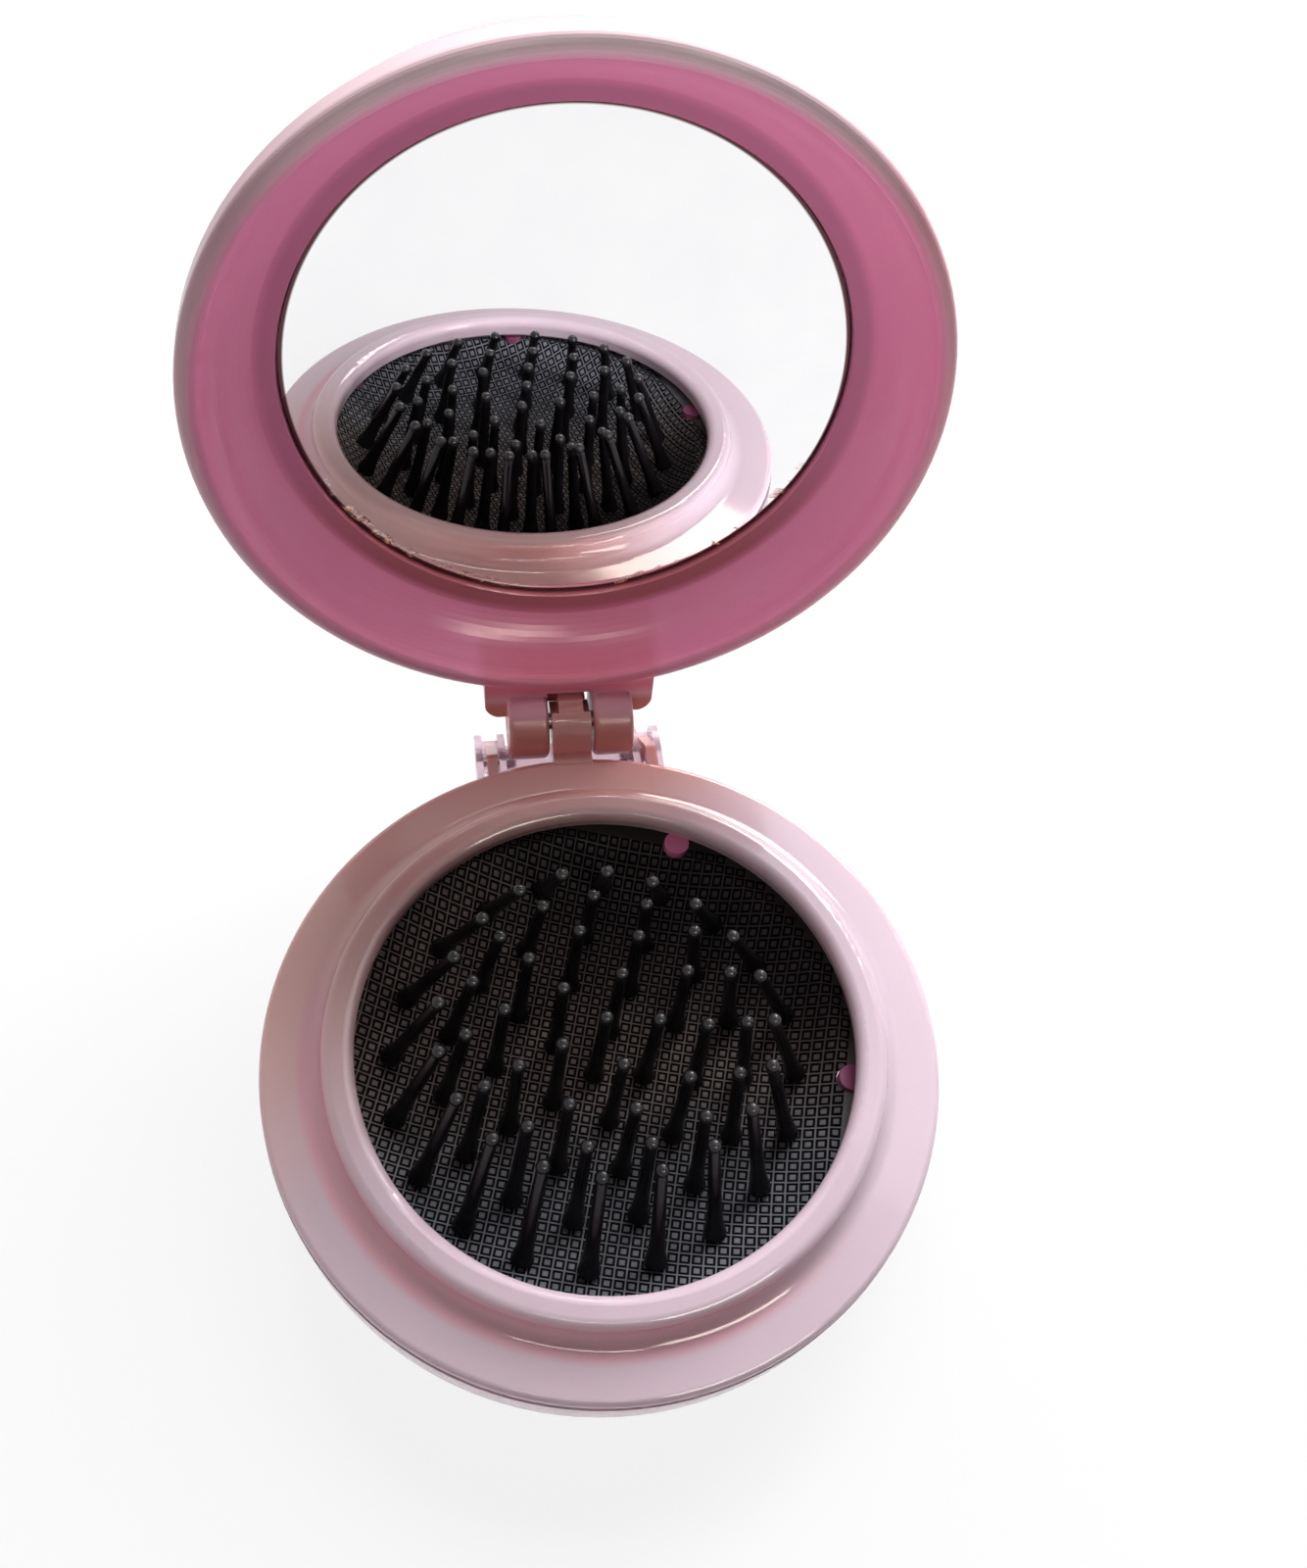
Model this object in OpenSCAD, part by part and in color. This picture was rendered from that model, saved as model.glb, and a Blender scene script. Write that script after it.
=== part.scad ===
// Folding round hairbrush with a mirror in the lid.
// Millimetres. Origin at the centre of the flat foot of the bottom cover, +Z up, +Y to the hinges.

/* [Case] */
// Outside radius of the brush frame flange (mm)
case_r = 33; // [31:0.5:36]
// Height of the flange face above the foot (mm)
flange_z = 13; // [12.5:0.5:16]
// Thickness of the flange (mm)
flange_t = 1.5; // [1.2:0.1:1.8]
// Width of the brush frame from its edge to the collar lip (mm)
collar_w = 8.95; // [8.8:0.05:9.1]
// Height of the collar crest above the flange (mm)
crest_h = 2.9; // [2.6:0.1:3.2]
// Radius of the rounded collar crest (mm)
crest_r = 1.05; // [0.9:0.05:1.1]
// Width of the flat on top of the collar crest (mm)
crest_flat = 1; // [0.8:0.1:1.4]
// Radius of the hollow at the foot of the collar (mm)
cove_r = 2.1; // [1.8:0.1:2.2]

/* [Bottom cover] */
// Wall of the bottom cover (mm)
cover_t = 1.3; // [1:0.1:1.6]
// Outside corner radius of the bottom cover (mm)
cover_corner_r = 6.7; // [5.5:0.1:7.5]
// Seam between the flange and the bottom cover (mm)
cover_seam = 0.3; // [0.3:0.05:0.6]

/* [Pad] */
// Offset of the pad centre along X (mm)
pad_x = -1.2; // [-1.4:0.1:0]
// Offset of the pad centre along Y (mm)
pad_y = -0.8; // [-1:0.1:0]
// Distance of the pad pocket from the flange edge (mm)
pocket_in = 4.2; // [4.1:0.05:4.5]
// Width of the pad retainer (mm)
retainer_w = 4; // [3.8:0.1:4.2]
// Thickness of the pad retainer (mm)
retainer_t = 1.4; // [1:0.1:1.8]
// Depth of the dish (mm)
dish_d = 5.8; // [4.5:0.1:6]
// Thickness of the membrane (mm)
membrane_t = 0.8; // [0.6:0.1:1]
// Level of the membrane border below the flange face (mm)
border_drop = 0.7; // [0.6:0.05:0.9]
// Distance of the peg centres from the membrane edge (mm)
peg_in = 3.3; // [3.2:0.05:3.4]
// Radius of a locating peg (mm)
peg_r = 1.3; // [1:0.05:1.35]

/* [Bristles] */
// Distance of the outer bristle ring from the edge of the dish (mm)
field_in = 4.2; // [4:0.1:5.4]
// Length from the foot to the ball centre (mm)
bristle_len = 11.1; // [9:0.1:11.3]
// Radius of the shaft above its foot (mm)
shaft_r = 0.72; // [0.5:0.02:0.8]
// Radius of the shaft under the ball (mm)
neck_r = 0.56; // [0.4:0.02:0.6]
// Radius of the ball tip (mm)
ball_r = 0.7; // [0.6:0.05:0.8]
// Radius of the flared foot (mm)
foot_r = 1.12; // [0.9:0.02:1.3]
// Height of the flared foot (mm)
foot_h = 3.2; // [2:0.1:4]
// Lean of all bristles towards the hinges (slope)
lean_y = 0.16; // [0:0.01:0.18]
// Lean of all bristles to the right (slope)
lean_x = 0.07; // [0:0.01:0.1]
// Twist of the bristle field (slope at the outer ring)
lean_twist = 0.13; // [0:0.01:0.15]
// Closing of the bristle field towards the hinges (slope at the outer ring)
lean_close = 0.04; // [0:0.01:0.06]

/* [Lid] */
// Opening angle of the lid as drawn (degrees)
lid_open = 95.87; // [90:0.01:110]
// Overhang of the lid rim past the flange (mm)
lid_over = 0.25; // [0:0.05:0.4]
// Gap between the flange and the closed lid (mm)
lid_gap = 0.35; // [0.3:0.05:0.6]
// Radius of the rounded lid rim (mm)
rim_r = 0.95; // [0.6:0.05:1.1]
// Height of the seam between the mirror frame and the lid shell (mm)
seam_z = 2.75; // [2.6:0.05:2.9]
// Width of the ring round the mirror recess (mm)
bezel_w = 7.75; // [7.6:0.05:8.2]
// Width of the bevel at the edge of the recess (mm)
bevel_w = 1.9; // [1.5:0.1:2.1]
// Height of the mirror face above the flange, lid closed (mm)
mirror_z = 7.7; // [7.6:0.05:8]
// Thickness of the mirror (mm)
mirror_t = 0.8; // [0.6:0.05:0.9]
// Gap round the edge of the mirror (mm)
mirror_gap = 0.25; // [0.15:0.05:0.6]
// Distance of the adhesive disc edge from the mirror edge (mm)
tape_in = 3; // [1:0.5:8]
// Depth of the lid behind the mirror face (mm)
dome_d = 7.3; // [7.2:0.1:9]
// Radius of the dome shoulder (mm)
shoulder_r = 3; // [2.8:0.1:3.1]
// Wall of the lid shell (mm)
shell_t = 0.85; // [0.7:0.05:0.9]

/* [Hinges] */
// Distance of the lid hinge axis from the flange edge (mm)
lid_axis_out = 4.65; // [4.55:0.05:5.4]
// Height of the lid hinge axis above the flange face (mm)
lid_axis_h = 0.3; // [0.1:0.05:0.5]
// Radius of the lid hinge knuckles (mm)
knuckle_r = 4; // [3.6:0.05:4.05]
// Radius of the lid hinge pin (mm)
lid_pin_r = 0.9; // [0.6:0.05:1.2]
// Running clearance of the hinge pins (mm)
pin_clear = 0.05; // [0.02:0.01:0.1]
// Side gap between hinge pieces (mm)
side_gap = 0.3; // [0.25:0.05:0.4]
// Half width of the centre knuckle (mm)
mid_half = 2.1; // [1.8:0.05:2.2]
// Width of one lid knuckle (mm)
knuckle_w = 4.3; // [3.8:0.05:4.3]
// Rounding of the knuckle edges (mm)
knuckle_edge = 0.6; // [0.3:0.05:0.9]
// Half width of the lid hinge block (mm)
block_half = 9; // [8.5:0.1:9.6]
// Height of the lid hinge block (mm)
block_h = 8; // [7.6:0.1:8.4]
// Distance of the inner clevis ears from the centre (mm)
prong_in = 7; // [6.9:0.05:7.4]
// Thickness of a clevis ear (mm)
prong_t = 0.75; // [0.6:0.05:0.9]
// Distance of the cover hinge axis from the flange edge (mm)
cover_axis_out = 3.7; // [3.6:0.05:4]
// Depth of the cover hinge axis below the flange face (mm)
cover_axis_d = 5.5; // [5.5:0.05:5.8]
// Radius of the finger end (mm)
finger_r = 1.7; // [1.5:0.05:1.8]
// Thickness of a finger (mm)
finger_w = 1.15; // [0.9:0.05:1.2]
// Radius of a clevis ear (mm)
ear_r = 2.85; // [2.6:0.05:2.9]
// Radius of the bar between the clevises (mm)
bar_r = 1.5; // [1.2:0.05:1.5]
// Radius of a cover hinge pin (mm)
cover_pin_r = 0.75; // [0.5:0.05:0.85]

/* [Hidden] */
$fn = 96;
e = 0.02;
gap = 0.3;
far = 3 * case_r;

// flange and collar, heights from the flange face
lip_r = case_r - collar_w;
edge_r = flange_t / 2;
crest_c = [lip_r + crest_r, crest_h - crest_r];
rise = flange_t / 5;
crest_out = crest_c + [crest_flat, 0];
cove_c = [crest_out[0] + crest_r + cove_r - 0.05, rise + cove_r];
lip_low = [lip_r + crest_r / 4, rise + 0.2];
wall_in = lip_r + crest_r;

// pad, heights from the flange face
pocket_r = case_r - pocket_in;
border_r = pocket_r - gap;
skirt_t = 1.1;
skirt_low = -2 * flange_t;
border_top = -border_drop;
border_low = border_top - membrane_t;
retainer_r = border_r - retainer_w;
retainer_low = border_low - retainer_t;
dish_r = retainer_r - gap;
dish_steps = 28;
peg_pitch_r = border_r - peg_in;
peg_angles = [64, 164, 214, 274, 349];
peg_top = 0.4 - border_drop;
peg_roof = peg_top + 0.18;
peg_seat = 0.4;
hole_r = peg_r + 0.15;
clamp_r = peg_pitch_r + peg_r + 0.12;

// bristles
field_r = dish_r - field_in;
ring_n = [1, 5, 10, 15, 20];
ring_a = [0, 65, 26.6, 15.8, 9.7];
ring_last = 4;
foot_gap = 0.2;
foot_land = 0.3;
flare_r = (2 * shaft_r + foot_r) / 3;
tilt = 0.9;

// bottom cover
cover_r = case_r + 0.1;
cover_top = -flange_t - cover_seam;
corner_c = [cover_r - cover_corner_r, cover_corner_r - flange_z];
ear_root = cover_t + 0.5;
ear_wall_top = -0.4;
bar_root = cover_t + 0.1;

// lid, closed, heights from the flange face
lid_r = case_r + lid_over;
recess_r = lid_r - bezel_w;
mirror_r = recess_r - mirror_gap;
tape_r = mirror_r - tape_in;
tape_t = 0.15;
floor_z = mirror_z + mirror_t + tape_t;
floor_t = 0.5;
recess_wall = 0.75;
rim_c = [lid_r - rim_r, lid_gap + rim_r];
rim_turn = 150;
rim_in = rim_c + rim_r * [cos(rim_turn), -sin(rim_turn)];
bevel_top = [recess_r + bevel_w, mirror_z - 1.25];
bevel_low = mirror_z - 0.75;
bezel_knee = [lid_r - 0.3 * bezel_w, 0.56 * mirror_z];
bezel_back = [recess_r + 2 * recess_wall, mirror_z + 0.2];
back_knee = bezel_knee + [0, 1.3];
seam_in = lid_r - shell_t - 0.4;
shell_z = seam_z + gap;
dome_h = mirror_z + dome_d;
shoulder_c = [lid_r - 1.6 * shoulder_r, mirror_z - 1.3];
shoulder_a = [74, 20];
dome_edge = shoulder_c + shoulder_r * [cos(shoulder_a[0]), sin(shoulder_a[0])];
dome_k = (dome_h - dome_edge[1]) / pow(dome_edge[0], 2);
dome_steps = 20;
side_z = 0.8 * seam_z;
bez_steps = 12;

// hinges
lid_axis_y = case_r + lid_axis_out;
lid_axis = [0, lid_axis_y, lid_axis_h + flange_z];
mid_clear = mid_half + side_gap;
knuckle_end = mid_clear + knuckle_w;
pin_half = knuckle_end - 0.4;
mid_edge = 0.15;
neck_half = 1.3;
hub_r = lid_pin_r + 1.3;
neck_back = 1.55;
web_low = -flange_t;
web_root = case_r - 1.2;
block_y = lid_axis_y - 0.75;
block_z = 0.5;
block_in = lid_r - 0.8;
block_root = lid_r - 9;
block_corner = 2;
block_round = 3.5;
slot_y = lid_axis_y - knuckle_r - gap;
slot_top = lid_axis_h + knuckle_r + gap;
finger_in = prong_in + prong_t + side_gap;
prong_out = finger_in + finger_w + side_gap;
cover_axis_y = case_r + cover_axis_out;
cover_axis = [cover_axis_y, -cover_axis_d];
finger_knee = [case_r + 0.6, -0.85];
finger_root = [case_r - 2.5, finger_knee[1]];
finger_root_r = 0.65;
pin_seat = 1;

dish = function (r) border_top - dish_d * (1 - pow(min(r, dish_r) / dish_r, 4));
dish_slope = function (r) 4 * dish_d * pow(r, 3) / pow(dish_r, 4);
lean_at = function (at) [lean_x + lean_close * (at[0] - at[1]) - lean_twist * at[0] * at[1],
    lean_y - lean_close * (at[0] + at[1])];
bez = function (a, b, c, t) a * pow(1 - t, 2) + b * 2 * t * (1 - t) + c * pow(t, 2);

module up() translate([0, 0, flange_z]) children();
module about_pad() translate([pad_x, pad_y, 0]) children();
module ring2(c, r) translate(c) circle(r);
module tube(r_in, r_out, z0, z1) translate([0, 0, z0]) difference() {
    cylinder(r = r_out, h = z1 - z0);
    translate([0, 0, -1]) cylinder(r = r_in, h = z1 - z0 + 2);
}
module disc_x(r, x0, x1) translate([x0, 0, 0]) rotate([0, 90, 0]) cylinder(r = r, h = x1 - x0);
module soft_disc_x(r, x0, x1, f) translate([x0, 0, 0]) rotate([0, 90, 0]) rotate_extrude() {
    w = x1 - x0;
    square([r - f, w]);
    translate([0, f]) square([r, w - 2 * f]);
    ring2([r - f, f], f);
    ring2([r - f, w - f], f);
}
module at_lid_axis() translate([0, lid_axis_y, lid_axis_h]) children();
module at_cover_axis() translate([0, cover_axis[0], cover_axis[1]]) children();
module plate_x(x0, x1) translate([x0, 0, 0]) rotate([90, 0, 90]) linear_extrude(x1 - x0) children();
module both_sides() {
    children();
    mirror([1, 0, 0]) children();
}
module opened() translate(lid_axis) rotate([-lid_open, 0, 0]) translate(-lid_axis) up() children();

// straight band touching two circles
module band(p, rp, q, rq) {
    u = (q - p) / norm(q - p);
    n = [-u[1], u[0]];
    c = (rp - rq) / norm(q - p);
    s = sqrt(1 - c * c);
    polygon([p + rp * (u * c + n * s), q + rq * (u * c + n * s),
        q + rq * (u * c - n * s), p + rp * (u * c - n * s)]);
}

// ---- bottom cover ----
module cover2(inset) {
    r = cover_corner_r - inset;
    low = corner_c[1] - r;
    ring2(corner_c, r);
    translate([0, low]) square([corner_c[0], -low]);
    translate([0, corner_c[1]]) square([cover_r - inset, -corner_c[1]]);
}
module cover_shell2() intersection() {
    difference() {
        cover2(0);
        cover2(cover_t);
    }
    translate([0, -far]) square([far, far + cover_top]);
}
module prong(x0) difference() {
    union() {
        at_cover_axis() disc_x(ear_r, x0, x0 + prong_t);
        plate_x(x0, x0 + prong_t) translate([case_r - ear_root, cover_axis[1] - ear_r])
            square([cover_axis[0] - case_r + ear_root, 2 * ear_r]);
    }
    at_cover_axis() disc_x(cover_pin_r, x0 - e, x0 + prong_t + e);
}
module ear_wall() plate_x(prong_in + e, prong_out + e) translate(cover_axis) intersection() {
    difference() {
        circle(ear_r);
        circle(finger_r + gap);
    }
    translate([0, -ear_r]) square([ear_r, ear_r + ear_wall_top]);
}
module bottom_cover() color([0.80, 0.62, 0.72]) up() {
    difference() {
        union() {
            rotate_extrude() cover_shell2();
            at_cover_axis() disc_x(bar_r, -prong_in - e, prong_in + e);
            plate_x(-prong_in - e, prong_in + e)
                translate([case_r - bar_root, cover_axis[1] - bar_r])
                square([cover_axis[0] - case_r + bar_root, bar_r]);
        }
        at_cover_axis() both_sides() disc_x(cover_pin_r, prong_in - pin_seat - 0.2, prong_out);
    }
    both_sides() {
        prong(prong_in);
        prong(prong_out);
        ear_wall();
    }
}
module cover_hinge_pins() color([0.75, 0.76, 0.78]) up() both_sides() at_cover_axis()
    disc_x(cover_pin_r, prong_in - pin_seat, prong_out + prong_t);

// ---- brush frame ----
module frame2() {
    ring2(crest_c, crest_r);
    ring2(crest_out, crest_r);
    translate(crest_c) square([crest_flat, crest_r]);
    ring2([case_r - edge_r, -edge_r], edge_r);
    difference() {
        polygon([lip_low, [lip_r, crest_c[1]], crest_c, [crest_out[0] + crest_r, crest_c[1]],
            [cove_c[0], cove_c[1]], [cove_c[0], rise], [case_r - edge_r, 0],
            [case_r - edge_r, -flange_t], [wall_in, -flange_t], [wall_in, peg_roof]]);
        ring2(cove_c, cove_r);
    }
}
module finger() difference() {
    plate_x(finger_in, finger_in + finger_w) {
        band(finger_root, finger_root_r, finger_knee, -finger_knee[1]);
        ring2(finger_knee, -finger_knee[1]);
        band(finger_knee, -finger_knee[1], cover_axis, finger_r);
        ring2(cover_axis, finger_r);
    }
    at_cover_axis() disc_x(cover_pin_r + pin_clear, finger_in - e, finger_in + finger_w + e);
}
module mid_knuckle() difference() {
    union() {
        at_lid_axis() soft_disc_x(knuckle_r, -mid_half, mid_half, mid_edge);
        plate_x(-mid_half, mid_half) translate([web_root, web_low])
            square([lid_axis_y - web_root, -web_low]);
    }
    both_sides() difference() {
        at_lid_axis() translate([neck_half, -neck_back, 0]) cube(knuckle_r + neck_back + e);
        at_lid_axis() disc_x(hub_r, 0, far);
    }
    at_lid_axis() disc_x(lid_pin_r + pin_clear, -far, far);
}
module brush_frame() color([0.86, 0.76, 0.80]) up() {
    difference() {
        union() {
            rotate_extrude() frame2();
            about_pad() tube(pocket_r, pocket_r + skirt_t, skirt_low, -flange_t / 2);
        }
        about_pad() translate([0, 0, border_top - far]) cylinder(r = pocket_r, h = far);
        about_pad() translate([0, 0, peg_roof - far]) cylinder(r = clamp_r, h = far);
    }
    mid_knuckle();
    both_sides() finger();
}

// ---- pad ----
module pegs(r, z0, z1) for (a = peg_angles) rotate([0, 0, a])
    translate([peg_pitch_r, 0, z0]) cylinder(r = r, h = z1 - z0);
module pad_retainer() color([0.62, 0.30, 0.44]) up() about_pad() {
    tube(retainer_r, border_r, retainer_low, border_low);
    pegs(peg_r, retainer_low + peg_seat, peg_top);
}
module pad_membrane() color([0.08, 0.08, 0.09]) up() about_pad() difference() {
    rotate_extrude() polygon(concat(
        [for (i = [0 : dish_steps]) [dish_r * i / dish_steps, dish(dish_r * i / dish_steps)]],
        [[border_r, border_top], [border_r, border_low]],
        [for (i = [dish_steps : -1 : 0])
            [dish_r * i / dish_steps, dish(dish_r * i / dish_steps) - membrane_t]]));
    pegs(hole_r, border_low - e, 0);
}
module bristle() rotate_extrude($fn = 24) difference() {
    union() {
        polygon([[0, 0], [foot_r, 0], [foot_r, foot_land], [flare_r, foot_h / 2],
            [shaft_r, foot_h], [neck_r, bristle_len], [0, bristle_len]]);
        ring2([0, bristle_len], ball_r);
    }
    translate([-far, -far]) square([far, 2 * far]);
}
module bristle_ring(k) color([0.10, 0.10, 0.11]) up() about_pad() {
    r = field_r * k / ring_last;
    s = tilt * dish_slope(r);
    for (i = [0 : ring_n[k] - 1]) {
        a = ring_a[k] + i * 360 / ring_n[k];
        at = [cos(a), sin(a)] * k / ring_last;
        lean = lean_at(at);
        axis = [lean[0] - s * cos(a), lean[1] - s * sin(a), 1];
        lift = foot_gap + foot_r * norm([lean_x, lean_y]) + foot_r * (1 - tilt) * s;
        translate([r * cos(a), r * sin(a), dish(r) + lift])
            rotate([0, acos(1 / norm(axis)), atan2(axis[1], axis[0])]) bristle();
    }
}
module bristles_centre() bristle_ring(0);
module bristles_ring_1() bristle_ring(1);
module bristles_ring_2() bristle_ring(2);
module bristles_ring_3() bristle_ring(3);
module bristles_ring_4() bristle_ring(4);

// ---- lid ----
module dome2(t) polygon(concat(
    [for (i = [0 : dome_steps]) let (r = dome_edge[0] * i / dome_steps)
        [r, dome_h - t - dome_k * r * r]],
    [for (i = [0 : 6]) let (a = shoulder_a[0] + (shoulder_a[1] - shoulder_a[0]) * i / 6)
        shoulder_c + (shoulder_r - t) * [cos(a), sin(a)]],
    [[lid_r - t, side_z], [lid_r - t, 0], [0, 0]]));
module block2() {
    translate([block_root, block_z]) square([block_y - block_root, block_h - block_round - block_z]);
    translate([block_root, block_z])
        square([block_y - block_root - block_round, block_h - block_z]);
    ring2([block_y - block_round, block_h - block_round], block_round);
}
module block_plan2() {
    in = block_half - block_corner;
    translate([-block_half, block_root - block_half])
        square([2 * block_half, block_y - block_corner - block_root + block_half]);
    translate([-in, block_root]) square([2 * in, block_y - block_root]);
    for (s = [-1, 1]) ring2([s * in, block_y - block_corner], block_corner);
}
module block() intersection() {
    plate_x(-block_half, block_half) block2();
    linear_extrude(block_h) block_plan2();
}
module slot() translate([-mid_clear, slot_y, slot_top - far]) cube([2 * mid_clear, far, far]);
module lid_shell() color([0.84, 0.66, 0.76]) opened() difference() {
    union() {
        rotate_extrude() dome2(0);
        block();
    }
    rotate_extrude() dome2(shell_t);
    translate([0, 0, shell_z - far]) cylinder(r = far, h = far);
    at_lid_axis() disc_x(knuckle_r + gap, -knuckle_end - gap, knuckle_end + gap);
    slot();
}
module bezel2() polygon(concat(
    [for (i = [0 : 10]) rim_c + rim_r * [cos(i * rim_turn / 10), -sin(i * rim_turn / 10)]],
    [for (i = [1 : bez_steps]) bez(rim_in, bezel_knee, bevel_top, i / bez_steps)],
    [[recess_r, bevel_low], [recess_r, floor_z], [0, floor_z], [0, floor_z + floor_t],
        [recess_r + recess_wall, floor_z + floor_t]],
    [for (i = [bez_steps : -1 : 0])
        bez([seam_in, seam_z], back_knee, bezel_back, i / bez_steps)],
    [[lid_r, seam_z]]));
module mirror_frame() color([0.74, 0.40, 0.55]) opened() difference() {
    union() {
        rotate_extrude() bezel2();
        difference() {
            block();
            cylinder(r = block_in, h = far);
            translate([0, 0, seam_z]) cylinder(r = far, h = far);
            slot();
        }
        both_sides() at_lid_axis() soft_disc_x(knuckle_r, mid_clear, knuckle_end, knuckle_edge);
    }
    at_lid_axis() disc_x(lid_pin_r, -far, far);
}
module mirror_tape() color([0.85, 0.85, 0.82]) opened()
    translate([0, 0, mirror_z + mirror_t]) cylinder(r = tape_r, h = tape_t);
module mirror_glass() color([0.80, 0.84, 0.88]) opened()
    translate([0, 0, mirror_z]) cylinder(r = mirror_r, h = mirror_t);
module lid_hinge_pin() color([0.75, 0.76, 0.78]) translate(lid_axis)
    disc_x(lid_pin_r, -pin_half, pin_half);

bottom_cover();
cover_hinge_pins();
brush_frame();
pad_retainer();
pad_membrane();
bristles_centre();
bristles_ring_1();
bristles_ring_2();
bristles_ring_3();
bristles_ring_4();
lid_shell();
mirror_frame();
mirror_tape();
mirror_glass();
lid_hinge_pin();
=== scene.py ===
import math

import bpy
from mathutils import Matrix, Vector


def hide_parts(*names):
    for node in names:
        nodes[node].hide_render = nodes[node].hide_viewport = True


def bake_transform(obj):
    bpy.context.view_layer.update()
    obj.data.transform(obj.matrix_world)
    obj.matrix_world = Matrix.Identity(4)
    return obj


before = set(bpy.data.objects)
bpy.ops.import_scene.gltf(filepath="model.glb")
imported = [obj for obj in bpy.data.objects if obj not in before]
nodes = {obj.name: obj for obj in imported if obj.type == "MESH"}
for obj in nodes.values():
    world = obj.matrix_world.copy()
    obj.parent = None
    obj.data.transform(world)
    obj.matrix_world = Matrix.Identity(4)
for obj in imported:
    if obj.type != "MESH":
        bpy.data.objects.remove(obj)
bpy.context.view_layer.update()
mm = 0.001
print("frame loaded:", len(nodes), "nodes")

camera = {"place": (-0.013873, -0.045269, 0.138521), "turn": (0.486264, -0.115055, -0.143415),
          "sensor": 36, "lens": 31.3717, "shift": (-0.01875, 0.05288), "clip": (0.005, 20)}


def makeCamera():
    data = bpy.data.cameras.new("camera")
    data.sensor_width = camera["sensor"]
    data.lens = camera["lens"]
    data.shift_x, data.shift_y = camera["shift"]
    data.clip_start, data.clip_end = camera["clip"]
    seen = bpy.data.objects.new("camera", data)
    seen.location = camera["place"]
    seen.rotation_euler = camera["turn"]
    bpy.context.scene.collection.objects.link(seen)
    bpy.context.scene.camera = seen


makeCamera()
bpy.context.scene.view_settings.view_transform = "Standard"
print("camera placed")


# helpers for shader nodes
def newMaterial(name):
    made = bpy.data.materials.new(name)
    made.use_nodes = True
    tree = made.node_tree
    tree.nodes.clear()
    out = tree.nodes.new("ShaderNodeOutputMaterial")
    shader = tree.nodes.new("ShaderNodeBsdfPrincipled")
    tree.links.new(shader.outputs["BSDF"], out.inputs["Surface"])
    return made, tree, shader


def objectCoords(tree, scale=(1, 1, 1)):
    coord = tree.nodes.new("ShaderNodeTexCoord")
    mapping = tree.nodes.new("ShaderNodeMapping")
    mapping.inputs["Scale"].default_value = scale
    tree.links.new(coord.outputs["Object"], mapping.inputs["Vector"])
    return mapping.outputs["Vector"]


def noise(tree, vector, scale, detail=3.0, rough=0.55):
    made = tree.nodes.new("ShaderNodeTexNoise")
    made.inputs["Scale"].default_value = scale
    made.inputs["Detail"].default_value = detail
    made.inputs["Roughness"].default_value = rough
    tree.links.new(vector, made.inputs["Vector"])
    return made.outputs["Fac"]


def ramp(tree, value, places, shades):
    made = tree.nodes.new("ShaderNodeValToRGB")
    for element, at, shade in zip(made.color_ramp.elements, places, shades):
        element.position = at
        element.color = (*shade, 1)
    tree.links.new(value, made.inputs["Fac"])
    return made.outputs["Color"]


def calc(tree, kind, a, b=0.0):
    made = tree.nodes.new("ShaderNodeMath")
    made.operation = kind
    for socket, value in zip(made.inputs, (a, b)):
        if isinstance(value, (int, float)):
            socket.default_value = value
        else:
            tree.links.new(value, socket)
    return made.outputs["Value"]


def times(tree, a, b):
    return calc(tree, "MULTIPLY", a, b)


def hypot(tree, a, b):
    return calc(tree, "SQRT", calc(tree, "ADD", times(tree, a, a), times(tree, b, b)))


def spread(tree, value, band, low=0.0, high=1.0):
    made = tree.nodes.new("ShaderNodeMapRange")
    made.interpolation_type = "SMOOTHSTEP"
    made.inputs["From Min"].default_value = band[0]
    made.inputs["From Max"].default_value = band[1]
    made.inputs["To Min"].default_value = low
    made.inputs["To Max"].default_value = high
    tree.links.new(value, made.inputs["Value"])
    return made.outputs["Result"]


def rise(tree, value, band, full=1.0):  # band in mm: none before it, full past it
    return spread(tree, value, (band[0] * mm, band[1] * mm), 0, full)


def fall(tree, value, band):  # band in mm: full before it, none past it
    return spread(tree, value, (band[0] * mm, band[1] * mm), 1, 0)


def mixColor(tree, fac, a, b):
    made = tree.nodes.new("ShaderNodeMix")
    made.data_type = "RGBA"
    tree.links.new(fac, made.inputs["Factor"])
    for socket, value in ((made.inputs[6], a), (made.inputs[7], b)):  # its two colours
        if isinstance(value, tuple):
            socket.default_value = (*value, 1)
        else:
            tree.links.new(value, socket)
    return made.outputs[2]


def axisOf(tree, vector, axis):
    parts = tree.nodes.new("ShaderNodeSeparateXYZ")
    tree.links.new(vector, parts.inputs["Vector"])
    return parts.outputs[axis]


def bump(tree, shader, height, strength, distance):
    made = tree.nodes.new("ShaderNodeBump")
    made.inputs["Strength"].default_value = strength
    made.inputs["Distance"].default_value = distance
    tree.links.new(height, made.inputs["Height"])
    tree.links.new(made.outputs["Normal"], shader.inputs["Normal"])


grain = {"band": (0.3, 0.7), "less": 0.9, "more": 1.2}  # roughness follows the fine noise


def roughen(tree, shader, fine, low, high):
    tree.links.new(spread(tree, fine, grain["band"], low, high), shader.inputs["Roughness"])


def roughenAround(tree, shader, fine, rough):
    roughen(tree, shader, fine, rough * grain["less"], rough * grain["more"])


def dress(node, material):
    body = nodes[node]
    body.data.materials.clear()
    body.data.materials.append(material)


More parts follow.
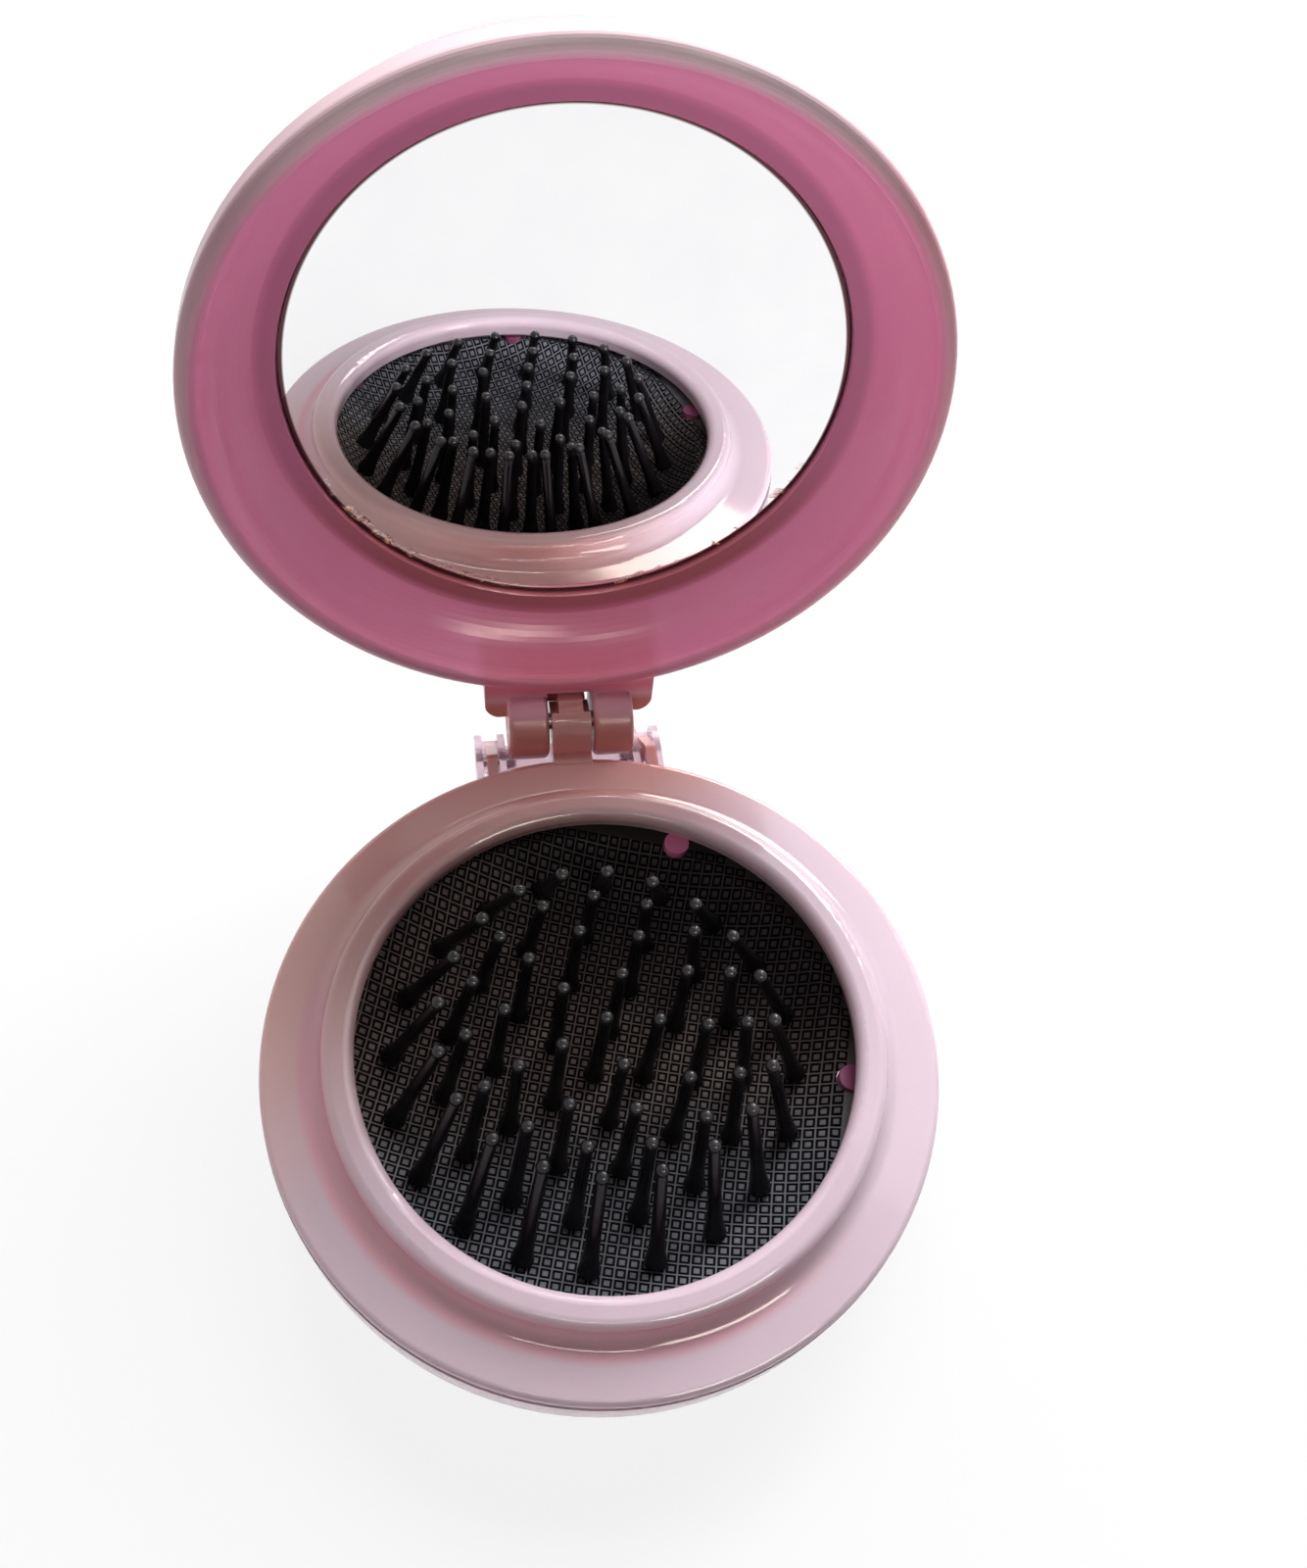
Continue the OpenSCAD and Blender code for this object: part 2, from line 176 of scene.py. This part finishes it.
# moulded plastic: main and deep are the two shades of its cloud
plasticLooks = {
    "framePlastic": {"main": (0.72, 0.575, 0.655), "deep": (0.69, 0.545, 0.62), "rough": 0.08,
                     "scatter": 0.25, "gloss": 0.45, "clear": 0.0},
    "coverPlastic": {"main": (0.88, 0.70, 0.79), "deep": (0.84, 0.65, 0.75), "rough": 0.20,
                     "scatter": 0.5, "gloss": 0.4, "clear": 0.75},
    # painted shade: the lid shell gets a deeper colour than the frame's plastic, to hold down its strongly
    # lit outside
    "lidPlasticPaintedShade": {"main": (0.51, 0.38, 0.445), "deep": (0.48, 0.355, 0.42), "rough": 0.16,
                   "scatter": 0.25, "gloss": 0.4, "clear": 0.0},
    # painted light: the mirror frame's deep, saturated pink stands for light coming through the lid from
    # behind
    "mirrorFramePaintedBacklight": {"main": (0.95, 0.315, 0.535), "deep": (0.90, 0.295, 0.50), "rough": 0.22,
                           "scatter": 0.0, "gloss": 0.3, "clear": 0.0},
    # painted shade: the pegs' deep colour stands for their shaded sides; pegs towards the hinge are painted
    # lighter further down
    "retainerPlasticPaintedShade": {"main": (0.25, 0.07, 0.145), "deep": (0.21, 0.06, 0.12), "rough": 0.35,
                        "scatter": 0.15, "gloss": 0.3, "clear": 0.0},
}
mouldLook = {"cloud": (38, 2, 0.5), "cloudBand": (0.35, 0.65), "fine": (900, 4, 0.6), "bend": 1.49,
             "scatterRadius": (1.0, 0.45, 0.6), "scatterScale": 0.002, "bump": (0.012, 0.00004)}


def mouldedPlastic(name, lightPaint=None):
    look = plasticLooks[name]
    made, tree, shader = newMaterial(name)
    place = objectCoords(tree)
    cloud = noise(tree, place, *mouldLook["cloud"])
    shade = ramp(tree, cloud, mouldLook["cloudBand"], (look["deep"], look["main"]))
    # lightPaint paints light and shade into the colour
    if lightPaint:
        shade = lightPaint(tree, place, shade)
    tree.links.new(shade, shader.inputs["Base Color"])
    fine = noise(tree, place, *mouldLook["fine"])
    roughenAround(tree, shader, fine, look["rough"])
    shader.inputs["IOR"].default_value = mouldLook["bend"]
    shader.inputs["Subsurface Weight"].default_value = look["scatter"]
    shader.inputs["Subsurface Radius"].default_value = mouldLook["scatterRadius"]
    shader.inputs["Subsurface Scale"].default_value = mouldLook["scatterScale"]
    shader.inputs["Specular IOR Level"].default_value = look["gloss"]
    shader.inputs["Transmission Weight"].default_value = look["clear"]
    bump(tree, shader, fine, *mouldLook["bump"])
    return made


# lid: painted light and shade on the mirror frame, for light that comes through the plastic from behind.
# Every band is in mm, and out and along are measured with the lid folded shut
lidPaintedLight = {
    "axisY": 37.65, "axisZ": 13.3, "open": 95.87,
    # painted light: the outer lip is shaded at the left and lit at the right and top
    "rim": (0.55, 0.325, 0.385), "rimRight": (0.80, 0.36, 0.43), "rimTop": (0.98, 0.74, 0.80),
    "rimOut": (31.3, 32.7), "rimAcross": (5, 30), "rimTopAlong": (-33, -18),
    # painted shade: the sloped ring round the mirror is shaded, deeper at its lower side
    "bevel": (0.65, 0.22, 0.37), "bevelLow": (0.49, 0.145, 0.18),
    "bevelOut": (26.5, 27.8), "bevelLowAlong": (4, 22),
    # painted shadow of the hinge housing seen through the plastic, and painted shade on the housing and
    # hinge barrels
    "shadow": (0.78, 0.20, 0.29), "shadowUp": (16.5, 26.5), "hingeAcross": (8.3, 10.3),
    "block": (0.72, 0.38, 0.46), "blockAlong": (32.6, 34.2),
    "knuckle": (0.55, 0.21, 0.185), "knuckleAlong": (33.8, 35.2),
}


def foldedShut(tree, place):
    across, along, up = (axisOf(tree, place, k) for k in range(3))
    turn = math.radians(lidPaintedLight["open"])
    fromY = calc(tree, "SUBTRACT", along, lidPaintedLight["axisY"] * mm)
    fromZ = calc(tree, "SUBTRACT", up, lidPaintedLight["axisZ"] * mm)
    turned = calc(tree, "SUBTRACT", times(tree, fromY, math.cos(turn)), times(tree, fromZ, math.sin(turn)))
    shutAlong = calc(tree, "ADD", turned, lidPaintedLight["axisY"] * mm)
    return across, up, shutAlong, hypot(tree, across, shutAlong)


def paintLidLight(tree, place, shade):
    look = lidPaintedLight
    across, up, along, out = foldedShut(tree, place)
    # painted light and shade on the outer lip
    rim = mixColor(tree, rise(tree, across, look["rimAcross"]), look["rim"], look["rimRight"])
    rim = mixColor(tree, fall(tree, along, look["rimTopAlong"]), rim, look["rimTop"])
    shade = mixColor(tree, rise(tree, out, look["rimOut"]), shade, rim)
    # painted shade on the sloped ring round the mirror
    bevel = mixColor(tree, rise(tree, along, look["bevelLowAlong"]), look["bevel"], look["bevelLow"])
    shade = mixColor(tree, fall(tree, out, look["bevelOut"]), shade, bevel)
    # painted shadow and shade at the hinge
    hinge = fall(tree, calc(tree, "ABSOLUTE", across), look["hingeAcross"])
    for part, where in (("shadow", fall(tree, up, look["shadowUp"])),
                        ("block", rise(tree, along, look["blockAlong"])),
                        ("knuckle", rise(tree, along, look["knuckleAlong"]))):
        shade = mixColor(tree, times(tree, hinge, where), shade, look[part])
    return shade


# brush frame: painted shade and light, pinker and browner where the lid shades it, shaded in the hollow
# outside the collar and near the hinge; bands in mm from the frame's middle
framePaintedLight = {
    # painted shade and light: pinker and browner towards the left and the hinge, where the lid shades the
    # flange
    "warmPaintedLight": (0.76, 0.485, 0.455), "warmWay": (-0.6, 0.8), "warmBand": (2, 26),
    # painted shade in the hollow outside the collar, at the front
    "coveShade": (0.74, 0.40, 0.475), "coveIn": (26.5, 27.3), "coveOut": (28.9, 29.9),
    "coveAcross": (4, 24), "coveAlong": (0, 16),
    # painted shade near the hinge
    "backShade": (0.60, 0.25, 0.235), "backAlong": (22.0, 36.0), "backAcross": (8, 18),
}


def towards(tree, across, along, way):
    return calc(tree, "ADD", times(tree, across, way[0]), times(tree, along, way[1]))


def paintFrameLight(tree, place, shade):
    look = framePaintedLight
    across, along = axisOf(tree, place, 0), axisOf(tree, place, 1)
    # painted shade and light where the lid shades the flange
    warmPaintedLight = rise(tree, towards(tree, across, along, look["warmWay"]), look["warmBand"])
    shade = mixColor(tree, warmPaintedLight, shade, look["warmPaintedLight"])
    # painted shade in the hollow outside the collar
    out = hypot(tree, across, along)
    coveShade = times(tree, rise(tree, out, look["coveIn"]), fall(tree, out, look["coveOut"]))
    coveShade = times(tree, coveShade, fall(tree, across, look["coveAcross"]))
    coveShade = times(tree, coveShade, fall(tree, along, look["coveAlong"]))
    shade = mixColor(tree, coveShade, shade, look["coveShade"])
    # painted shade near the hinge
    backShade = times(tree, rise(tree, along, look["backAlong"]), fall(tree, across, look["backAcross"]))
    return mixColor(tree, backShade, shade, look["backShade"])


# painted light: pegs towards the hinge are painted lighter
retainerPaintedLight = {"lit": (0.95, 0.30, 0.55), "litAlong": (6, 16)}


def paintRetainerLight(tree, place, shade):
    lit = rise(tree, axisOf(tree, place, 1), retainerPaintedLight["litAlong"])
    return mixColor(tree, lit, shade, retainerPaintedLight["lit"])


for node, plastic, lightPaint in (("brush_frame", "framePlastic", paintFrameLight),
                            ("bottom_cover", "coverPlastic", None),
                            ("lid_shell", "lidPlasticPaintedShade", None),
                            ("mirror_frame", "mirrorFramePaintedBacklight", paintLidLight),
                            ("pad_retainer", "retainerPlasticPaintedShade", paintRetainerLight)):
    dress(node, mouldedPlastic(plastic, lightPaint))
print("plastics made")


# painted light: the pad tops are lighter and browner towards the hinge side, greyer and bluer at the front
rubberLooks = {
    "padRubber": {"warmPaintedLight": (0.250, 0.215, 0.195), "coolPaintedLight": (0.165, 0.170, 0.195),
                  "rough": 0.42, "gloss": 0.08},
    # painted shade: the groove material is near black, deepening the grooves
    "padGrooveShade": {"warmPaintedLight": (0.010, 0.008, 0.009), "coolPaintedLight": (0.009, 0.009, 0.010),
                  "rough": 0.70, "gloss": 0.02},
}
# painted shadow: tops towards the right and the hinge side are darkened, where the collar shades them
rubberLightAndGrain = {"coolAlong": (-14, 0), "paintedShadow": (0.004, 0.003, 0.006), "darkWay": (0.6, 0.8),
               "darkBand": (1, 17), "darkShare": 0.84, "cloud": (160, 3), "cloudBand": (0.35, 0.65),
               "cloudShare": 0.3, "cloudShade": (0.0, 0.0, 0.0), "fine": (1400, 3),
               "bump": (0.05, 0.00003)}


def rubber(name):
    look = rubberLooks[name]
    made, tree, shader = newMaterial(name)
    place = objectCoords(tree)
    across, along = axisOf(tree, place, 0), axisOf(tree, place, 1)
    # painted light from the front of the pad to the hinge side
    shade = mixColor(tree, fall(tree, along, rubberLightAndGrain["coolAlong"]), look["warmPaintedLight"], look["coolPaintedLight"])
    # painted shadow from the collar wall
    paintedShadow = rise(tree, towards(tree, across, along, rubberLightAndGrain["darkWay"]), rubberLightAndGrain["darkBand"],
                rubberLightAndGrain["darkShare"])
    shade = mixColor(tree, paintedShadow, shade, rubberLightAndGrain["paintedShadow"])
    cloud = spread(tree, noise(tree, place, *rubberLightAndGrain["cloud"]), rubberLightAndGrain["cloudBand"], 0,
                   rubberLightAndGrain["cloudShare"])
    shade = mixColor(tree, cloud, shade, rubberLightAndGrain["cloudShade"])
    tree.links.new(shade, shader.inputs["Base Color"])
    fine = noise(tree, place, *rubberLightAndGrain["fine"])
    roughenAround(tree, shader, fine, look["rough"])
    shader.inputs["Specular IOR Level"].default_value = look["gloss"]
    bump(tree, shader, fine, *rubberLightAndGrain["bump"])
    return made


# painted sheen: the balls are painted lighter than the shafts, standing in for their gloss
bristleLook = {"cloud": (300, 2), "cloudBand": (0.3, 0.7),
               "shades": ((0.004, 0.003, 0.004), (0.008, 0.007, 0.009)),
               "ball": (0.020, 0.019, 0.022), "ballBelowTip": (1.6, 0.9),
               "fine": 1500, "rough": (0.14, 0.20), "gloss": 0.3}


def bristlePlastic(name, tip):  # tip is the height of the row's highest ball, in metres
    look = bristleLook
    made, tree, shader = newMaterial(name)
    place = objectCoords(tree)
    shade = ramp(tree, noise(tree, place, *look["cloud"]), look["cloudBand"], look["shades"])
    # painted sheen on the balls
    ball = spread(tree, axisOf(tree, place, 2), [tip - below * mm for below in look["ballBelowTip"]])
    shade = mixColor(tree, ball, shade, look["ball"])
    tree.links.new(shade, shader.inputs["Base Color"])
    roughen(tree, shader, noise(tree, place, look["fine"]), *look["rough"])
    shader.inputs["Specular IOR Level"].default_value = look["gloss"]
    return made


steelLook = {"stretch": (1, 40, 40), "drawn": (200, 3), "drawnBand": (0.3, 0.7),
             "shades": ((0.36, 0.34, 0.35), (0.50, 0.48, 0.49)), "rough": (0.29, 0.40)}


def steel():
    look = steelLook
    made, tree, shader = newMaterial("pinSteel")
    drawn = noise(tree, objectCoords(tree, look["stretch"]), *look["drawn"])
    tree.links.new(ramp(tree, drawn, look["drawnBand"], look["shades"]), shader.inputs["Base Color"])
    roughen(tree, shader, drawn, *look["rough"])
    shader.inputs["Metallic"].default_value = 1
    return made


# mirror: a blackened border, partly worn silvering and partly painted shade from the recess wall, with
# flecks of gold glue at its lower side
mirrorLook = {
    "smear": (120, 3), "smearBand": (0.3, 0.7), "shades": ((0.93, 0.925, 0.94), (0.965, 0.96, 0.97)),
    # the blackened border is partly worn silvering and partly painted shade of the recess wall
    "edge": (0.10, 0.04, 0.045), "edgeOut": (24.82, 25.05),
    "gold": (0.80, 0.50, 0.30), "goldOut": (24.15, 24.75), "goldAlong": (6, 16), "goldRough": 0.35,
    "fleckStretch": (0.5, 1, 1), "fleck": (900, 5, 0.7), "fleckBand": (0.55, 0.66),
    "roughBand": (0.4, 0.8), "rough": (0.0, 0.02), "bump": (0.35, 0.00012),
}


def mirrorSilver():
    look = mirrorLook
    made, tree, shader = newMaterial("mirrorSilver")
    place = objectCoords(tree)
    smear = noise(tree, place, *look["smear"])
    shade = ramp(tree, smear, look["smearBand"], look["shades"])
    along, out = foldedShut(tree, place)[2:]
    shade = mixColor(tree, rise(tree, out, look["edgeOut"]), shade, look["edge"])
    gold = times(tree, rise(tree, along, look["goldAlong"]), rise(tree, out, look["goldOut"]))
    fleck = noise(tree, objectCoords(tree, look["fleckStretch"]), *look["fleck"])
    gold = times(tree, gold, spread(tree, fleck, look["fleckBand"]))
    shade = mixColor(tree, gold, shade, look["gold"])
    tree.links.new(shade, shader.inputs["Base Color"])
    plain = spread(tree, smear, look["roughBand"], *look["rough"])
    rough = calc(tree, "ADD", plain, times(tree, gold, look["goldRough"]))
    tree.links.new(rough, shader.inputs["Roughness"])
    shader.inputs["Metallic"].default_value = 1
    bump(tree, shader, gold, *look["bump"])
    return made


tapeLook = {"cells": (1600, 2), "cellBand": (0.3, 0.7), "shades": ((0.66, 0.64, 0.58), (0.78, 0.76, 0.70)),
            "rough": 0.8, "bump": (0.3, 0.00005)}


def tapeFoam():
    look = tapeLook
    made, tree, shader = newMaterial("tapeFoam")
    cells = noise(tree, objectCoords(tree), *look["cells"])
    tree.links.new(ramp(tree, cells, look["cellBand"], look["shades"]), shader.inputs["Base Color"])
    shader.inputs["Roughness"].default_value = look["rough"]
    bump(tree, shader, cells, *look["bump"])
    return made


padRubber, padGrooveShade = rubber("padRubber"), rubber("padGrooveShade")
pinSteel, silver = steel(), mirrorSilver()
for row in ("centre", "ring_1", "ring_2", "ring_3", "ring_4"):
    tip = max(point.co.z for point in nodes["bristles_" + row].data.vertices)
    dress("bristles_" + row, bristlePlastic("bristle_" + row, tip))
dress("cover_hinge_pins", pinSteel)
dress("lid_hinge_pin", pinSteel)
dress("mirror_glass", silver)
dress("mirror_tape", tapeFoam())
print("nodes dressed")


# rubber pad, in mm: a flat grid of raised cells, closed below, then dished and cut for the pegs
padLook = {"centre": (-1.2, -0.8), "turn": -16.3, "cells": 43, "pitch": 1.142, "reach": 25.7, "top": 12.3,
           "dishRadius": 24.2, "dishDepth": 5.8, "dishPower": 4, "thick": 0.8, "grooveBelow": -0.03,
           "topRings": (26.7, 27.5, 28.5),
           "lowRings": (28.5, 24.2, 22.0, 20.0, 18.0, 15.5, 12.5, 9.0, 5.0, 1.0),
           "cell": [(0.075, 0.0), (0.03, -0.15), (0.16, 0.0), (0.04, 0.14), (0.05, 0.02)],  # inset, rise
           "pegCircle": 25.2, "pegHole": 1.45, "pegSides": 40, "pegDepth": 4,
           "pegAngles": (64, 164, 214, 274, 349), "smooth": 32}


def pickNone(kind):
    bpy.ops.object.mode_set(mode="EDIT")
    bpy.ops.mesh.select_mode(type=kind)
    bpy.ops.mesh.select_all(action="DESELECT")


def deleteFaces(piece, unwanted):
    pickNone("FACE")
    bpy.ops.object.mode_set(mode="OBJECT")
    for face in piece.data.polygons:
        face.select = unwanted(face)
    bpy.ops.object.mode_set(mode="EDIT")
    bpy.ops.mesh.delete(type="FACE")


def ringOut(piece, radius, level=0.0):
    pickNone("EDGE")
    bpy.ops.mesh.select_non_manifold(extend=False, use_wire=False, use_boundary=True, use_multi_face=False,
                                     use_non_contiguous=False, use_verts=False)
    bpy.ops.mesh.extrude_edges_move()
    bpy.ops.object.mode_set(mode="OBJECT")
    for point in piece.data.vertices:
        if point.select:
            around = math.atan2(point.co.y, point.co.x)
            point.co = (radius * math.cos(around), radius * math.sin(around), level)


def makeGrid():
    look = padLook
    bpy.ops.object.select_all(action="DESELECT")
    bpy.ops.mesh.primitive_grid_add(x_subdivisions=look["cells"], y_subdivisions=look["cells"],
                                    size=look["cells"] * look["pitch"] * mm)
    pad = bpy.context.object
    pad.name = "padSkin"
    deleteFaces(pad, lambda face: face.center.length > look["reach"] * mm)
    bpy.ops.mesh.select_all(action="SELECT")
    for width, lift in look["cell"]:
        bpy.ops.mesh.inset(thickness=width * mm, depth=lift * mm, use_individual=True, use_even_offset=True)
    bpy.ops.object.mode_set(mode="OBJECT")
    pad.data.materials.append(padRubber)
    pad.data.materials.append(padGrooveShade)
    for face in pad.data.polygons:
        # the sunken faces take the groove material, painted shade
        face.material_index = 1 if face.center.z < look["grooveBelow"] * mm else 0
    return pad


def closeBelow(pad):
    for radius in padLook["topRings"]:
        ringOut(pad, radius * mm)
    for radius in padLook["lowRings"]:
        ringOut(pad, radius * mm, -padLook["thick"] * mm)
    bpy.ops.object.mode_set(mode="EDIT")
    bpy.ops.mesh.merge(type="CENTER")  # closes the last ring
    bpy.ops.mesh.select_all(action="SELECT")
    bpy.ops.mesh.normals_make_consistent(inside=False)
    bpy.ops.object.mode_set(mode="OBJECT")


def dishPad(pad):
    look = padLook
    for point in pad.data.vertices:
        away = min(math.hypot(point.co.x, point.co.y) / (look["dishRadius"] * mm), 1)
        point.co.z += (look["top"] - look["dishDepth"] * (1 - away ** look["dishPower"])) * mm
    pad.rotation_euler = (0, 0, math.radians(look["turn"]))
    pad.location = (look["centre"][0] * mm, look["centre"][1] * mm, 0)
    bpy.ops.object.transform_apply(location=True, rotation=True, scale=True)


def cutPegHoles(pad):
    look = padLook
    cutters = []
    for angle in look["pegAngles"]:
        at = math.radians(angle)
        place = ((look["centre"][0] + look["pegCircle"] * math.cos(at)) * mm,
                 (look["centre"][1] + look["pegCircle"] * math.sin(at)) * mm, look["top"] * mm)
        bpy.ops.object.select_all(action="DESELECT")
        bpy.ops.mesh.primitive_cylinder_add(vertices=look["pegSides"], radius=look["pegHole"] * mm,
                                            depth=look["pegDepth"] * mm, location=place)
        cutters.append(bpy.context.object)
    for cutter in cutters:
        bpy.context.view_layer.objects.active = pad
        cut = pad.modifiers.new("cut", "BOOLEAN")
        cut.operation, cut.solver, cut.object = "DIFFERENCE", "EXACT", cutter
        bpy.ops.object.modifier_apply(modifier=cut.name)
    for cutter in cutters:
        bpy.data.objects.remove(cutter)


def makePad():
    look = padLook
    pad = makeGrid()
    closeBelow(pad)
    dishPad(pad)
    cutPegHoles(pad)
    bpy.ops.object.select_all(action="DESELECT")
    pad.select_set(True)
    bpy.context.view_layer.objects.active = pad
    bpy.ops.object.shade_smooth_by_angle(angle=math.radians(look["smooth"]))
    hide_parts("pad_membrane")
    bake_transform(pad)
    return pad


padSkin = makePad()
print("pad made:", len(padSkin.data.polygons), "faces")


# floor and background: white where they are seen directly, dim as light
stageLook = {"floor": (0.86, 0.86, 0.87), "size": 6.0, "below": 0.2, "rough": 0.9, "glow": 0.85}
worldLook = {"dim": (0.90, 0.93, 1.0), "dimStrength": 0.034, "white": (1, 1, 1), "whiteStrength": 1.0}


def seenDirectly(tree):  # 1 for camera, glossy and transmission rays
    path = tree.nodes.new("ShaderNodeLightPath")
    through = calc(tree, "MAXIMUM", path.outputs["Is Glossy Ray"], path.outputs["Is Transmission Ray"])
    return calc(tree, "MAXIMUM", path.outputs["Is Camera Ray"], through)


def mixShaders(tree, fac, a, b, out):
    mix = tree.nodes.new("ShaderNodeMixShader")
    tree.links.new(fac, mix.inputs["Fac"])
    tree.links.new(a, mix.inputs[1])
    tree.links.new(b, mix.inputs[2])
    tree.links.new(mix.outputs["Shader"], out.inputs["Surface"])


def makeStage():
    look = stageLook
    bpy.ops.object.select_all(action="DESELECT")
    bpy.ops.mesh.primitive_plane_add(size=look["size"], location=(0, 0, -look["below"] * mm))
    floor = bpy.context.object
    floor.name = "floor"
    made, tree, shader = newMaterial("stageFloor")
    shader.inputs["Base Color"].default_value = (*look["floor"], 1)
    shader.inputs["Roughness"].default_value = look["rough"]
    glow = tree.nodes.new("ShaderNodeEmission")
    out = [node for node in tree.nodes if node.type == "OUTPUT_MATERIAL"][0]
    mixShaders(tree, times(tree, seenDirectly(tree), look["glow"]), shader.outputs["BSDF"],
               glow.outputs["Emission"], out)
    floor.data.materials.append(made)


def background(tree, color, strength):
    made = tree.nodes.new("ShaderNodeBackground")
    made.inputs["Color"].default_value = (*color, 1)
    made.inputs["Strength"].default_value = strength
    return made.outputs["Background"]


def makeWorld():
    look = worldLook
    world = bpy.data.worlds.new("studio")
    bpy.context.scene.world = world
    world.use_nodes = True
    tree = world.node_tree
    tree.nodes.clear()
    out = tree.nodes.new("ShaderNodeOutputWorld")
    dim = background(tree, look["dim"], look["dimStrength"])
    white = background(tree, look["white"], look["whiteStrength"])
    mixShaders(tree, seenDirectly(tree), dim, white, out)


# keys light the surfaces, windows are only mirrored in them
lamps = {
    "keyBehind": {"at": (0.12, 0.47, 0.45), "size": (0.55, 0.38), "power": 6.8,
                  "color": (1.0, 1.0, 1.0), "seenBy": "diffuse"},
    "keyLow": {"at": (0.44, 0.42, 0.24), "size": (0.30, 0.30), "power": 2.55,
               "color": (1.0, 0.99, 1.0), "seenBy": "diffuse"},
    "fillLeft": {"at": (-0.37, -0.36, 0.40), "size": (0.40, 0.40), "power": 0.82,
                 "color": (1.0, 0.86, 0.84), "seenBy": "diffuse"},
    "windowBehind": {"at": (0.27, 0.34, 0.53), "size": (0.95, 0.46), "power": 2.7,
                     "color": (0.96, 0.97, 1.0), "seenBy": "glossy"},
    "windowRight": {"at": (0.30, 0.52, 0.28), "size": (0.34, 0.32), "power": 5.5,
                    "color": (1.0, 0.92, 0.80), "seenBy": "glossy"},
    "windowFront": {"at": (0.23, -0.39, 0.47), "size": (0.30, 0.14), "power": 2.1,
                    "color": (1.0, 0.92, 0.80), "seenBy": "glossy"},
    "windowSlit": {"at": (-0.06, -0.35, 0.57), "size": (0.24, 0.03), "power": 0.5,
                   "color": (1.0, 0.95, 0.90), "seenBy": "glossy"},
}
lampAim = (0, 0.01, 0.02)


def makeLamps():
    for name, lamp in lamps.items():
        data = bpy.data.lights.new(name, "AREA")
        data.shape = "RECTANGLE"
        data.size, data.size_y = lamp["size"]
        data.energy = lamp["power"]
        data.color = lamp["color"]
        made = bpy.data.objects.new(name, data)
        made.location = lamp["at"]
        made.rotation_euler = (Vector(lampAim) - Vector(lamp["at"])).to_track_quat("-Z", "Y").to_euler()
        made.visible_glossy = lamp["seenBy"] == "glossy"
        made.visible_diffuse = lamp["seenBy"] == "diffuse"
        bpy.context.scene.collection.objects.link(made)


makeStage()
makeWorld()
makeLamps()
print("stage and lamps made")
